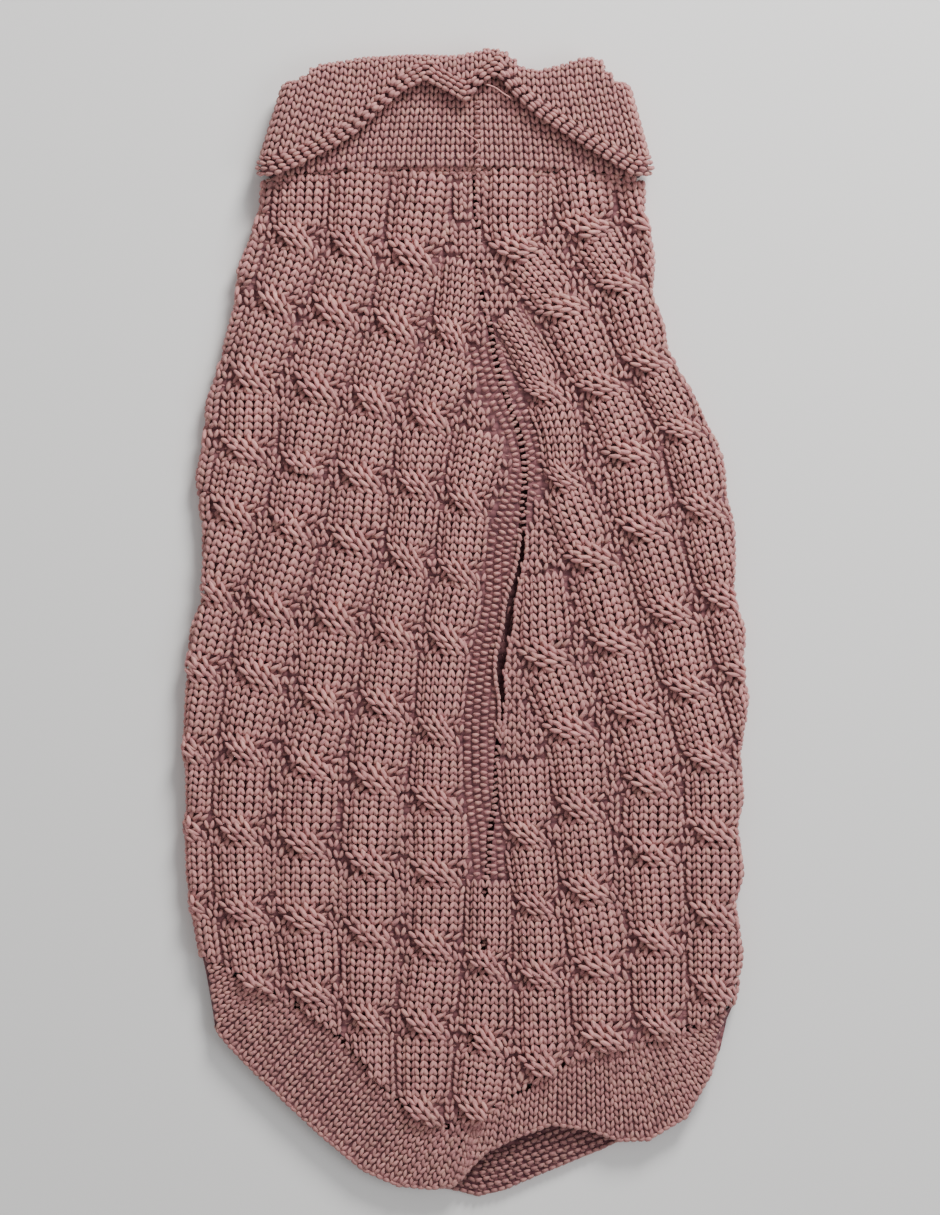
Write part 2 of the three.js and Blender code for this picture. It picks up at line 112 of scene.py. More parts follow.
# cables: centres of the crossings from the neck down, in mm; the first and last
# points only lead the column in and out
CABLES = {
    "left_edge": [(-84.9, 190.2), (-88.8, 160.7), (-95.9, 133.2), (-104.5, 103.8), (-109.3, 76.2), (-114.0, 48.7), (-121.0, 19.3), (-124.2, -6.3)],
    "a": [(-65.2, 182.4), (-66.0, 151.7), (-75.1, 126.2), (-84.9, 96.7), (-86.1, 68.4), (-91.6, 43.6), (-99.0, 12.6), (-105.3, -16.9), (-108.5, -48.7), (-110.0, -79.4), (-108.5, -110.4), (-104.5, -139.9), (-102.2, -167.4)],
    "b": [(-41.7, 180.4), (-45.2, 148.2), (-51.1, 122.2), (-58.2, 92.4), (-63.3, 62.1), (-67.6, 38.1), (-77.0, 6.3), (-81.7, -20.0), (-88.0, -49.5), (-90.0, -81.4), (-88.4, -112.8), (-84.1, -141.9), (-81.0, -171.3)],
    "c": [(-16.9, 177.6), (-20.8, 144.6), (-26.7, 117.1), (-35.4, 86.9), (-40.9, 57.8), (-44.0, 32.6), (-51.1, 2.4), (-55.4, -29.9), (-61.3, -55.4), (-62.9, -86.1), (-62.9, -115.5), (-59.0, -144.6), (-53.4, -177.2)],
    "d": [(2.4, 142.3), (-4.3, 113.6), (-15.3, 81.7), (-17.7, 54.6), (-21.2, 25.2), (-27.5, -3.5), (-31.4, -31.8), (-35.4, -60.9), (-37.3, -94.3), (-37.3, -121.0), (-40.1, -154.8), (-38.5, -187.1)],
    "e": [(5.5, 76.2), (-1.6, 48.7), (-4.3, 20.4), (-7.9, -6.3), (-9.0, -41.7), (-11.0, -69.2), (-11.0, -97.5), (-11.8, -126.2), (-15.3, -157.2), (-16.1, -191.0), (-16.1, -222.4)],
    "f": [(10.2, -100.6), (9.0, -134.0), (7.1, -163.5), (3.1, -191.0), (1.6, -220.5)],
    "s": [(22.8, -53.4), (24.4, -82.9), (26.3, -110.4), (27.9, -137.9), (31.0, -173.7), (32.2, -206.7)],
    "r0": [(26.3, 19.3), (31.4, -12.6), (41.3, -40.9), (44.0, -72.3), (47.6, -104.5), (52.7, -134.4), (53.4, -161.9), (55.0, -191.0)],
    "r1": [(11.4, 118.7), (31.0, 91.2), (35.4, 56.6), (49.5, 26.7), (59.0, -6.7), (66.8, -33.4), (73.1, -62.1), (73.5, -89.6), (76.2, -124.2), (77.4, -157.2), (79.0, -187.1)],
    "r2": [(18.5, 182.4), (20.0, 147.0), (37.7, 125.0), (52.7, 93.5), (64.5, 67.6), (70.3, 38.1), (81.4, 4.7), (88.0, -24.8), (96.7, -52.3), (98.2, -81.7), (97.5, -114.4), (96.7, -143.8), (93.9, -175.3)],
    "r3": [(44.0, 182.4), (48.7, 155.6), (62.5, 134.8), (72.3, 103.4), (86.9, 77.4), (95.1, 46.0), (102.6, 10.2), (109.6, -18.9), (117.9, -48.7), (121.4, -79.4), (121.8, -108.9), (121.0, -141.9), (117.5, -171.3)],
    "r4": [(68.4, 186.3), (74.3, 156.8), (86.5, 127.3), (96.7, 99.0), (108.5, 69.2), (116.3, 36.9), (123.4, 5.5)],
}
# reverse-stockinette strip beside the back seam
STRIP = [(7.1, 110.8), (12.2, 93.9), (20.4, 78.2), (24.4, 63.7), (20.4, 48.7), (14.5, 31.0), (13.4, 9.4), (8.3, -14.1), (5.5, -37.7), (5.5, -61.3), (7.9, -81.0), (9.4, -100.6)]


def col(tab, c, at, key=0):
    k = tab[:, key]
    if k[0] > k[-1]:
        return np.interp(at, k[::-1], tab[::-1, c])
    return np.interp(at, k, tab[:, c])


def xl(y): return col(OUTLINE, 1, y)
def xr(y): return col(OUTLINE, 2, y)
def neck_u(u): return NECK_Y - NECK_DROP * np.abs(2 * u - 1) ** 3


def body_plan(u, v):
    y = neck_u(u) * (1 - v) + col(HEM, 1, u) * v
    return xl(y) + u * (xr(y) - xl(y)), y


_u = np.linspace(0, 1, 201)
_hx, _hy = body_plan(_u, 1.0)
_nx, _ny = body_plan(_u, 0.0)


def hemline(x): return np.interp(x, _hx, _hy)
def neckline(x): return np.interp(x, _nx, _ny)


_v = np.linspace(0, 1, 201)
_sx, _sy = body_plan(col(BACK_SEAM, 1, _v), _v)
_so = col(BACK_SEAM, 2, _v)
_lx, _ly = body_plan(col(BELLY_SEAM, 1, _v), _v)
_rx, _ry = body_plan(col(BELLY_SEAM, 2, _v), _v)
# the leg opening's cut follows the panel's own sections
_vs = np.linspace(0, 1, 25)
_leg = np.interp(_v, _vs, col(BELLY_SEAM, 3, _vs))


def seam_x(y): return np.interp(y, _sy[::-1], _sx[::-1])
def seam_open(y): return np.interp(y, _sy[::-1], _so[::-1])
def belly_l(y): return np.interp(y, _ly[::-1], _lx[::-1])
def belly_r(y): return np.interp(y, _ry[::-1], _rx[::-1])
def leg_l(y): return np.interp(y, _ly[::-1], _leg[::-1])
def leg_r(y): return np.interp(y, _ry[::-1], _leg[::-1])


# ------------------------------------------------------------------ surfaces
def wrap(x, y, h, l, r, R):
    """The upper layer of a flattened tube, its side folds and its lower layer."""
    sl, sr = (l + R) - x, x - (r - R)
    side = np.where(sl > 0, -1.0, np.where(sr > 0, 1.0, 0.0))
    a = np.where(side < 0, sl / R, np.where(side > 0, sr / R, 0.0))
    over = np.maximum(a - math.pi, 0) * R
    a = np.minimum(a, math.pi)
    cx = np.where(side < 0, l + R, np.where(side > 0, r - R, x))
    nz = np.cos(a)
    h = h * (1 + nz) / 2 + np.minimum(h, -1.15) * (1 - nz) / 2
    px = cx + side * (R + h) * np.sin(a) - side * over
    pz = R + (R + h) * nz
    p = np.stack([px, y, pz], -1)
    n = np.stack([side * np.sin(a), np.zeros_like(px), nz], -1)
    return p, n


def s_top(x, y, h):
    return wrap(x, y, h, xl(y), xr(y), R_BODY)


_hxl = (np.array([-230.0, -159.5, -130.0]), np.array([-99.8, -99.8, -104.3]))
_hxr = (np.array([-230.0, -178.0, -163.0, -147.5]), np.array([106.0, 103.0, 101.0, 106.8]))


def s_hem(x, y, h):
    return wrap(x, y, h, np.interp(y, *_hxl), np.interp(y, *_hxr), HEM_R)


def s_under(x, y, h):
    h = np.minimum(h, -1.12)
    p = np.stack([x, y, -h], -1)
    n = np.zeros_like(p)
    n[..., 2] = -1
    return p, n


def unit(a):
    return a / np.maximum(np.linalg.norm(a, axis=-1, keepdims=True), 1e-9)


# ------------------------------------------------------------------ yarn store
STATIONS = {
    "fine": (5, np.array([0.0, 0.2, 0.52, 0.82, 1.0]), np.array([0, 0.93, 1.0, 0.74, 0])),
    "plain": (4, np.array([0.0, 0.28, 0.74, 1.0]), np.array([0, 1.0, 0.85, 0])),
}
store = {}


def add_beans(group, kind, p0, p1, n, bulge, radius, tone, bend=None):
    """Lengths of yarn: each a tapered roll from p0 to p1 that bows along n."""
    k = len(p0)
    if k == 0:
        return
    full = lambda a: np.broadcast_to(np.asarray(a, float), (k,)).copy()
    if bend is None:
        bend = np.zeros_like(p0)
    store.setdefault((group, kind), []).append(
        (p0, p1, n, full(bulge), full(radius), full(tone), bend))


def add_knit(group, kind, bot, top, n, width, radius, tone, lean=0.0):
    """A knit stitch is a V: two legs that meet at its foot."""
    B = top - bot
    A = unit(np.cross(B, n))
    N = unit(np.cross(A, B))
    k = len(bot)
    width = np.broadcast_to(np.asarray(width, float), (k,))[:, None]
    radius = np.broadcast_to(np.asarray(radius, float), (k,))
    c = (bot + top) / 2
    for s in (-1.0, 1.0):
        j = rng.normal(0, 0.035, (k, 1)) * width
        r = radius * rng.uniform(0.93, 1.07, k)
        foot = c - B * 0.62 + A * (s * 0.075 * width + j) + N * (0.30 * radius[:, None])
        head = c + B * 0.60 + A * (s * 0.475 * width + j) - N * (0.42 * radius[:, None])
        t = tone + rng.normal(0, 0.045, k)
        add_beans(group, kind, foot, head, N, 0.26 * r, r, t, bend=A * (s * 0.07 * width))


def add_purl(group, kind, c, along, across, n, width, radius, tone):
    """A purl bump is a short roll that lies across its column."""
    k = len(c)
    r = radius * rng.uniform(0.9, 1.1, k)
    tilt = rng.normal(0, 0.10, (k, 1))
    d = unit(across + along * tilt)
    half = 0.5 * np.broadcast_to(np.asarray(width, float), (k,))[:, None]
    add_beans(group, kind, c - d * half - n * 0.25, c + d * half - n * 0.25, n, 0.75 * r, r,
              tone + rng.normal(0, 0.05, k))


def add_tube(group, pts, radius, tone):
    pts = np.asarray(pts, float)
    p0, p1 = pts[:-1], pts[1:]
    d = unit(p1 - p0)
    n = unit(np.cross(d, np.cross(np.array([[0.0, 0, 1.0]]), d) + 1e-6))
    add_beans(group, "plain", p0 - d * radius, p1 + d * radius, n, 0.0, radius, tone)


# ------------------------------------------------------------------ cables
def spline(P, q):
    n = len(P)
    ext = np.vstack([2 * P[0] - P[1], P, 2 * P[-1] - P[-2]])
    i = np.clip(np.floor(q).astype(int), 0, n - 2)
    f = (q - i)[:, None]
    a, b, c, d = ext[i], ext[i + 1], ext[i + 2], ext[i + 3]
    return 0.5 * (2 * b + (c - a) * f + (2 * a - 5 * b + 4 * c - d) * f * f + (3 * b - a - 3 * c + d) * f ** 3)


lines = {}
for name, pts in CABLES.items():
    P = np.array(pts, float)
    q = np.linspace(0, len(P) - 1, 24 * (len(P) - 1) + 1)
    lines[name] = (P, spline(P, q))
strip_pts = np.array(STRIP, float)
strip_line = spline(strip_pts, np.linspace(0, len(strip_pts) - 1, 300))


def line_x(line, y):
    ys = line[::-1, 1]
    x = np.interp(y, ys, line[::-1, 0])
    return np.where((y >= ys.min()) & (y <= ys.max()), x, np.nan)


def half_widths(name, c, T):
    """How far a cable reaches to its left and right: half way to the next one."""
    cos = np.abs(T[:, 1])
    L = np.full(len(c), 12.2)
    Rr = np.full(len(c), 12.2)
    for other, (_, line) in lines.items():
        if other == name:
            continue
        d = (line_x(line, c[:, 1]) - c[:, 0]) * cos
        with np.errstate(invalid="ignore"):
            Rr = np.where((d > 4) & (d / 2 < Rr), d / 2, Rr)
            L = np.where((d < -4) & (-d / 2 < L), -d / 2, L)
    # the strip and the seam cut a cable off
    sx = np.where(c[:, 1] > strip_line[:, 1].max(), seam_x(c[:, 1]), line_x(strip_line, c[:, 1]))
    sx = np.where(np.isnan(sx), 1e6, sx)
    sh = np.where(c[:, 1] > strip_line[:, 1].max(), 0.8, STRIP_HALF)
    d = (sx - c[:, 0]) * cos
    Rr = np.where((d > 0) & (d - sh < Rr), d - sh, Rr)
    L = np.where((d < 0) & (-d - sh < L), -d - sh, L)
    # the slit's lips stop the cables on its right
    k = np.ones(7) / 7
    pad = lambda a: np.convolve(np.pad(a, 3, mode="edge"), k, mode="valid")
    return np.clip(pad(L), 0.5, 12.6), np.clip(pad(Rr), 0.5, 12.6)


ZONE = 0.235


def cable(name, pts, surface, keep, group_of, kind, lift=0.0, relief=1.0, widths=None, tone_of=None):
    P = np.array(pts, float)
    qs = []
    for i in range(len(P) - 1):
        n = max(5, int(round(np.linalg.norm(P[i + 1] - P[i]) / ROW)))
        qs.append(i + (np.arange(n) + 0.5) / n)
    q = np.concatenate(qs)
    rowq = np.concatenate([np.full(len(a), 1.0 / len(a)) for a in qs])
    last = len(P) - 1

    def state(qq):
        qq = np.clip(qq, 0, last)
        c = spline(P, qq)
        e = 0.04
        T = unit(spline(P, np.clip(qq + e, 0, last)) - spline(P, np.clip(qq - e, 0, last)))
        return c, T

    c, T = state(q)
    if widths is None:
        L, Rw = half_widths(name, c, T)
    else:
        L = np.full(len(q), widths)
        Rw = L.copy()
    mid = (Rw - L) / 2
    pitch = np.clip((L + Rw - 1.5) / 6, 2.75, 4.0)
    placed = []
    for k in range(6):
        front = k < 3
        kk = k % 3 - 1

        def place(qq):
            cc, TT = state(qq)
            near = np.round(qq)
            f = qq - near
            cross = (near > 0.5) & (near < last - 0.5)
            s = np.clip((f + ZONE) / (2 * ZONE), 0, 1)
            s = s * s * (3 - 2 * s)
            s = np.where(cross, s, np.where(f > 0, 1.0, 0.0))
            bump = np.where(cross, np.sin(math.pi * s), 0.0)
            o0 = mid + (k - 2.5) * pitch
            o1 = mid + ((k + 3 if front else k - 3) - 2.5) * pitch
            # after the crossing the columns keep their places, so only the zone moves
            swap = np.where(np.abs(f) < ZONE, s, 0.0) * np.where(cross, 1.0, 0.0)
            o = np.where((np.abs(f) < ZONE) & cross, o0 + (o1 - o0) * swap, o0)
            half = np.maximum((L + Rw) / 2, 4.0)
            e = np.clip(np.abs(o - mid) / half, 0, 1.1)
            h = 0.6 - 2.5 * e ** 2.2
            h = h + 0.35 * (1 - np.cos(2 * math.pi * f)) / 2
            up = (2.3 - 0.55 * kk * kk) * bump if front else -(1.5 + 0.2 * kk * kk) * bump
            h = relief * (h + up) + lift
            nrm = np.stack([-TT[:, 1], TT[:, 0]], -1)
            xy = cc + nrm * o[:, None]
            return xy, h, o, bump

        xy, h, o, bump = place(q)
        up_xy, up_h, _, _ = place(q - rowq * 0.5)
        dn_xy, dn_h, _, _ = place(q + rowq * 0.5)
        # a jump between the swapped strands isn't a stitch
        span = np.linalg.norm(up_xy - dn_xy, axis=1)
        jump = (span > 1.7 * ROW)[:, None]
        up_xy = np.where(jump, xy - T * ROW / 2, up_xy)
        dn_xy = np.where(jump, xy + T * ROW / 2, dn_xy)
        up_h = np.where(jump[:, 0], h, up_h)
        dn_h = np.where(jump[:, 0], h, dn_h)
        ok = (o > -L - 0.9) & (o < Rw + 0.9)
        ok &= keep(xy[:, 0], xy[:, 1])
        if not ok.any():
            continue
        bot, n0 = surface(dn_xy[ok, 0], dn_xy[ok, 1], dn_h[ok])
        top, n1 = surface(up_xy[ok, 0], up_xy[ok, 1], up_h[ok])
        n = unit(n0 + n1)
        w = pitch[ok] * 1.0
        # tone: a random spread per stitch, plus painted shade and light: stitches low in the relief are darker, those
        # on top of a crossing lighter
        tone = 0.5 + rng.normal(0, 0.05, ok.sum()) + 0.06 * np.clip(h[ok], -2, 2)
        if tone_of is not None:
            tone = tone + tone_of(xy[ok, 0], xy[ok, 1])
        grp = group_of(xy[ok, 0], xy[ok, 1])
        for g in sorted(set(grp)):
            m = grp == g
            add_knit(g, kind, bot[m], top[m], n[m], w[m], 0.262 * w[m], tone[m])
        placed.append(xy[ok])
    return np.vstack(placed) if placed else np.zeros((0, 2))


def keep_top(x, y):
    ok = (y < neckline(x) + 1.0) & (y > hemline(x) - 0.6)
    ok &= (x > xl(y) - 9.6) & (x < xr(y) + 9.6)
    ok &= np.abs(x - seam_x(y)) > seam_open(y) / 2 + np.where(seam_open(y) > 0.1, 0.9, 0.3)
    return ok


def group_top(x, y):
    return np.where(x < seam_x(y), "yarn_back_left", "yarn_back_right")


placed = [np.zeros((0, 2))]
for name, pts in CABLES.items():
    placed.append(cable(name, pts, s_top, keep_top, group_top, "fine"))

# ------------------------------------------------------------------ purl strip
def ribbon(line, step):
    seg = np.linalg.norm(np.diff(line, axis=0), axis=1)
    s = np.concatenate([[0], np.cumsum(seg)])
    at = np.arange(step / 2, s[-1], step)
    p = np.stack([np.interp(at, s, line[:, 0]), np.interp(at, s, line[:, 1])], -1)
    t = unit(np.stack([np.interp(at + 0.5, s, line[:, 0]) - np.interp(at - 0.5, s, line[:, 0]),
                       np.interp(at + 0.5, s, line[:, 1]) - np.interp(at - 0.5, s, line[:, 1])], -1))
    return p, t


def purl_at(group, surface, x, y, h, dirs, width, radius, tone, kind="plain"):
    p, n = surface(x, y, h)
    a = np.concatenate([dirs, np.zeros((len(x), 1))], 1)
    a = unit(a - n * (a * n).sum(1, keepdims=True))
    b = np.cross(n, a)
    add_purl(group, kind, p, b, a, n, width, radius, tone)


sp, st = ribbon(strip_line, ROW * 0.92)
sn = np.stack([-st[:, 1], st[:, 0]], -1)
for k in range(4):
    off = (k - 1.5) * 3.15
    p = sp + sn * off + st * (ROW * 0.46 * (k % 2))
    p = p + rng.normal(0, 0.15, p.shape)
    m = keep_top(p[:, 0], p[:, 1])
    h = -0.9 - 0.25 * np.abs(k - 1.5) + np.zeros(m.sum())
    g = group_top(p[m, 0], p[m, 1])
    for name in sorted(set(g)):
        mm = g == name
        purl_at(name, s_top, p[m][mm, 0], p[m][mm, 1], h[mm], sn[m][mm], 3.3, 0.85,
                0.47 + np.zeros(mm.sum()), kind="fine")
    placed.append(p[m])

# ------------------------------------------------------------------ fill
def fill(surface, keep, group_of, done, h_knit, h_purl, kind, lo, hi, far=3.1, near=2.05):
    """Plain stitches wherever the cables leave cloth bare, and purl in the gutters."""
    tree = KDTree(len(done))
    for i, p in enumerate(done):
        tree.insert((p[0], p[1], 0.0), i)
    tree.balance()
    xs = np.arange(lo[0], hi[0], 1.75)
    ys = np.arange(lo[1], hi[1], 1.45)
    gx, gy = np.meshgrid(xs, ys)
    gx, gy = gx.ravel(), gy.ravel()
    m = keep(gx, gy)
    cand = np.stack([gx[m], gy[m]], -1)
    d = np.array([tree.find((p[0], p[1], 0.0))[2] for p in cand])
    cand = cand[d > near]
    d = d[d > near]
    order = np.argsort(-d, kind="stable")
    cell, chosen, dist = {}, [], []
    for i in order:
        x, y = cand[i]
        key = (int(x // 3.4), int(y // 2.8))
        clash = False
        for a in (-1, 0, 1):
            for b in (-1, 0, 1):
                for (qx, qy) in cell.get((key[0] + a, key[1] + b), ()):
                    if abs(qx - x) < 3.2 and abs(qy - y) < 2.5:
                        clash = True
        if not clash:
            cell.setdefault(key, []).append((x, y))
            chosen.append((x, y))
            dist.append(d[i])
    if not chosen:
        return np.zeros((0, 2))
    pts, dist = np.array(chosen), np.array(dist)
    g = group_of(pts[:, 0], pts[:, 1])
    for name in sorted(set(g)):
        # purl bumps in the gutters get a darker tone than the plain knit (0.36 against 0.46): painted shade in the
        # gutters
        m = (g == name) & (dist < far)
        k = m.sum()
        if k:
            purl_at(name, surface, pts[m, 0], pts[m, 1], np.full(k, h_purl), np.tile([[1.0, 0.0]], (k, 1)),
                    2.9, 0.8, 0.36 + np.zeros(k))
        m = (g == name) & (dist >= far)
        k = m.sum()
        if k:
            x, y = pts[m, 0], pts[m, 1]
            b, n0 = surface(x, y - ROW / 2, np.full(k, h_knit))
            t, n1 = surface(x, y + ROW / 2, np.full(k, h_knit))
            add_knit(name, kind, b, t, unit(n0 + n1), 3.4, 0.88, 0.46 + rng.normal(0, 0.04, k))
    return pts


fill(s_top, keep_top, group_top, np.vstack(placed), -0.7, -2.0, "fine", (-122, -202), (122, 181))

# ------------------------------------------------------------------ back seam
ys = np.arange(178, -196, -2.6)
# ridge of the seam from the neck, and again where it closes below the slit
m = (ys > 37)
x = seam_x(ys[m])
purl_at("yarn_back_left", s_top, x, ys[m], np.full(m.sum(), -0.9), np.tile([[1.0, 0.25]], (m.sum(), 1)), 2.6, 0.75,
        0.40 + np.zeros(m.sum()), kind="fine")
# below the slit the seam's purl is toned darker (0.34 against 0.40 above): painted shade in the seam's groove
m = (ys < -48)
x = seam_x(ys[m])
purl_at("yarn_back_left", s_top, x, ys[m], np.full(m.sum(), -1.0), np.tile([[1.0, 0.2]], (m.sum(), 1)), 2.6, 0.75,
        0.34 + np.zeros(m.sum()))
# seam where the collar is sewn on
for grp, a0, a1 in (("yarn_back_left", -78.0, 4.0), ("yarn_back_right", 6.5, 68.0)):
    x = np.arange(a0, a1, 2.7)
    for dy, hh in ((0.2, -1.1), (-1.9, -0.9)):
        purl_at(grp, s_top, x, neckline(x) + dy, np.full(len(x), hh), np.tile([[1.0, 0.1]], (len(x), 1)), 3.3, 0.85,
                0.40 + np.zeros(len(x)), kind="fine")
# rolled lips of the slit
for side, hh in ((-1, 0.1), (1, -0.5)):
    yy = np.arange(34, -44, -2.5)
    x = seam_x(yy) + side * (seam_open(yy) / 2 + 1.0)
    g = "yarn_back_left" if side < 0 else "yarn_back_right"
    purl_at(g, s_top, x, yy, np.full(len(yy), hh), np.tile([[0.25 * side, 1.0]], (len(yy), 1)), 3.4, 0.85,
            0.45 + np.zeros(len(yy)), kind="fine")

# ------------------------------------------------------------------ underside
def keep_under(x, y):
    ok = (y < neckline(x) - 0.4) & (y > hemline(x) + 0.4)
    ok &= (x > xl(y) + 3.4) & (x < xr(y) - 3.4)
    for b, leg in ((belly_l(y), leg_l(y)), (belly_r(y), leg_r(y))):
        ok &= np.abs(x - b) > np.where(leg > 0.5, leg + 1.3, 0.9)
    return ok


def group_under(x, y):
    return np.where(x < belly_l(y), "yarn_under_left", np.where(x > belly_r(y), "yarn_under_right", "yarn_belly"))


done = [np.zeros((0, 2))]
for i in range(-4, 5):
    base = i * 24.5
    shift = 9.0 if i % 2 else 0.0
    pts = [(base * (0.80 if yy > 60 else 1.0) + 1.5 * math.sin(yy * 0.045 + i) - (5.0 if yy > 60 else 0.0), yy)
           for yy in np.arange(206 + shift, -225, -29.5)]
    # the lower layer's cables are toned a little darker (-0.02): painted shade under the garment
    done.append(cable("u%d" % i, pts, s_under, keep_under, group_under, "plain", lift=-1.5, relief=0.55,
                      widths=11.8, tone_of=lambda a, b: -0.02 + 0 * a))
fill(s_under, keep_under, group_under, np.vstack(done), -1.6, -1.9, "plain", (-112, -200), (112, 181))
# belly seams and bound-off leg openings
for bx, lg, g2 in ((belly_l, leg_l, "yarn_under_left"), (belly_r, leg_r, "yarn_under_right")):
    yy = np.arange(176, -194, -2.7)
    m = (lg(yy) < 0.4) & (yy > hemline(bx(yy)) + 1)
    purl_at("yarn_belly", s_under, bx(yy[m]), yy[m], np.full(m.sum(), -1.3), np.tile([[1.0, 0.2]], (m.sum(), 1)), 2.6,
            0.7, 0.42 + np.zeros(m.sum()))
    yy = np.linspace(136, 51, 240)
    for side, grp in ((1, "yarn_belly"), (-1, g2)):
        if bx is belly_r:
            side = -side
        line = np.stack([bx(yy) + side * -1.0 * (-(lg(yy) + 0.9)), yy], -1)
        line = line[lg(yy) > 0.4]
        p, t = ribbon(line, 2.7)
        purl_at(grp, s_under, p[:, 0], p[:, 1], np.full(len(p), -1.2), t, 3.3, 0.95, 0.5 + np.zeros(len(p)))

# ------------------------------------------------------------------ hem bands
def hem_edge(cx, cy):
    u = np.linspace(0, 1, 400)
    return np.stack([col(HEM, cx, u), col(HEM, cy, u)], -1)


def hem_ribs(edge, surface, group_of, kind, lift, tone, length=58.0, start=1.6):
    # the outermost ribs start from the side folds, not from the free edge
    p, t = ribbon(np.vstack([[(-104.4, -131.0)], edge, [(106.4, -148.8)]]), RIB_PITCH)
    ang = np.radians(np.interp(p[:, 0], RIB_DIR[:, 0], RIB_DIR[:, 1]))
    d = np.stack([np.cos(ang), np.sin(ang)], -1)
    rows = int(length / ROW)
    for j in range(rows):
        for purl in (False, True):
            base = p + (t * RIB_PITCH / 2 if purl else 0)
            c = base + d * (start + (j + 0.5) * ROW)
            m = (c[:, 1] < hemline(c[:, 0]) + 0.2)
            if not m.any():
                continue
            k = m.sum()
            x, y = c[m, 0], c[m, 1]
            g = group_of(x, y)
            wob = 0.25 * np.sin(0.9 * x + 1.3 * y)
            for name in sorted(set(g)):
                q = g == name
                # the recessed purl columns get a darker tone (0.14 below the knit): painted shade between the ribs
                if purl:
                    perp = np.stack([d[m][:, 1], -d[m][:, 0]], -1)
                    purl_at(name, surface, x[q], y[q], np.full(q.sum(), lift - 1.35), perp[q], 2.2, 0.62,
                            tone - 0.14 + np.zeros(q.sum()))
                else:
                    b, n0 = surface(x[q] - d[m][q, 0] * ROW / 2, y[q] - d[m][q, 1] * ROW / 2, lift + wob[q])
                    tp, n1 = surface(x[q] + d[m][q, 0] * ROW / 2, y[q] + d[m][q, 1] * ROW / 2, lift + wob[q])
                    add_knit(name, kind, b, tp, unit(n0 + n1), 2.75, 0.80,
                             tone + rng.normal(0, 0.04, q.sum()))
    # bound-off edge
    e, et = ribbon(edge, 2.9)
    g = group_of(e[:, 0], e[:, 1] + 2.0)
    inward = np.stack([-et[:, 1], et[:, 0]], -1)
    inward *= np.sign(inward[:, 1:2] + 1e-9)
    for name in sorted(set(g)):
        q = g == name
        pp = e[q] + inward[q] * 0.9
        purl_at(name, surface, pp[:, 0], pp[:, 1], np.full(q.sum(), lift - 0.5), et[q], 3.7, 0.95,
                tone - 0.02 + np.zeros(q.sum()), kind="fine")


def s_hem_flat(x, y, h):
    """Upper face of the lower band, which shows at the bottom centre."""
    p = np.stack([x, y, np.minimum(RIBW + h, 3.4)], -1)
    n = np.zeros_like(p)
    n[..., 2] = 1
    return p, n


hem_ribs(hem_edge(2, 3), s_hem, lambda x, y: np.where(x < -1.2, "yarn_hem_left", "yarn_hem_right"), "fine", -0.6, 0.46)
# the lower band is toned a little darker than the upper (0.44 against 0.46): painted shade under the garment
hem_ribs(hem_edge(4, 5), s_under, lambda x, y: np.where(x < -50, "yarn_hem_left", np.where(x > 60, "yarn_hem_right", "yarn_hem_belly")),
         "plain", -1.2, 0.44)
# what shows of the lower band's inner face, in a dark tone (0.33): painted shade where it peeks out below the upper
# band
edge = hem_edge(4, 5)
edge = edge[(edge[:, 0] > -12) & (edge[:, 0] < 66)]
p, t = ribbon(edge, 3.1)
for j in range(6):
    c = p + np.array([[0.0, 1.3 + j * 2.75]]) + t * (1.5 * (j % 2))
    purl_at("yarn_hem_belly", s_hem_flat, c[:, 0], c[:, 1], np.full(len(c), -0.7), t, 3.2, 0.85,
            0.33 + np.zeros(len(c)), kind="fine")

# ------------------------------------------------------------------ collar
H0 = 0.2
ZC = H0 + 2 * RIBW + GAP
RF = RIBW + GAP / 2


def c_fold(s): return col(COLLAR_FOLD, 1, s)
def c_edge(s): return col(COLLAR_EDGE, 1, s)
def c_base(s): return neck_u(0.035 + 0.93 * s) + 0.3


def collar_pt(s, a, d, y, nd, ny):
    """s across the upper or lower face, a the turn round the side fold."""
    t = np.clip((y - (NECK_Y - NECK_DROP)) / (222 - NECK_Y + NECK_DROP), 0, 1)
    half = 70.6 + (60.8 - 70.6) * (t * t * (3 - 2 * t))
    mid = -4.6 + 1.0 * t
    reach = H0 + d
    face = np.cos(a)
    x = mid + (2 * s - 1) * half + reach * np.sin(a)
    z = ZC + reach * face
    z = np.maximum(z, 1.0)
    p = np.stack([x, y, z], -1)
    n = np.stack([nd * np.sin(a), ny + 0 * a, nd * face], -1)
    return p, unit(n)


def flap_path(s, a, g, h):
    """g is the distance up from the flap's free edge, on over the fold and down inside."""
    up = 0.5 + 0.5 * np.cos(a)
    base = c_base(s)
    free = base + 2.5 + (np.maximum(c_edge(s), base + 2.5 * (1 - up)) - base - 2.5) * up
    cy = c_fold(s) - RF
    straight = cy - free
    y = np.where(g < straight, free + g, cy)
    f = np.clip((g - straight) / RF, 0, math.pi)
    over = np.maximum(g - straight - RF * math.pi, 0)
    d = RF + (RF + h) * np.cos(f)
    y = np.where(g < straight, y, cy + (RF + h) * np.sin(f) - over)
    lift = 1.6 * np.exp(-g / 5.0) * up
    d = d + lift
    return collar_pt(s, a, d, y, np.cos(f), np.sin(f)), straight


ring = []
NCOL = 36
for i in range(NCOL):
    ring.append(((i + 0.5) / NCOL, 0.0))
    ring.append(((i + 0.5) / NCOL, math.pi))
for i in range(5):
    ring.append((1.0, (i + 0.5) / 5 * math.pi))
    ring.append((0.0, -(i + 0.5) / 5 * math.pi))
ring = np.array(ring)
EDGE_BAND = 7.4


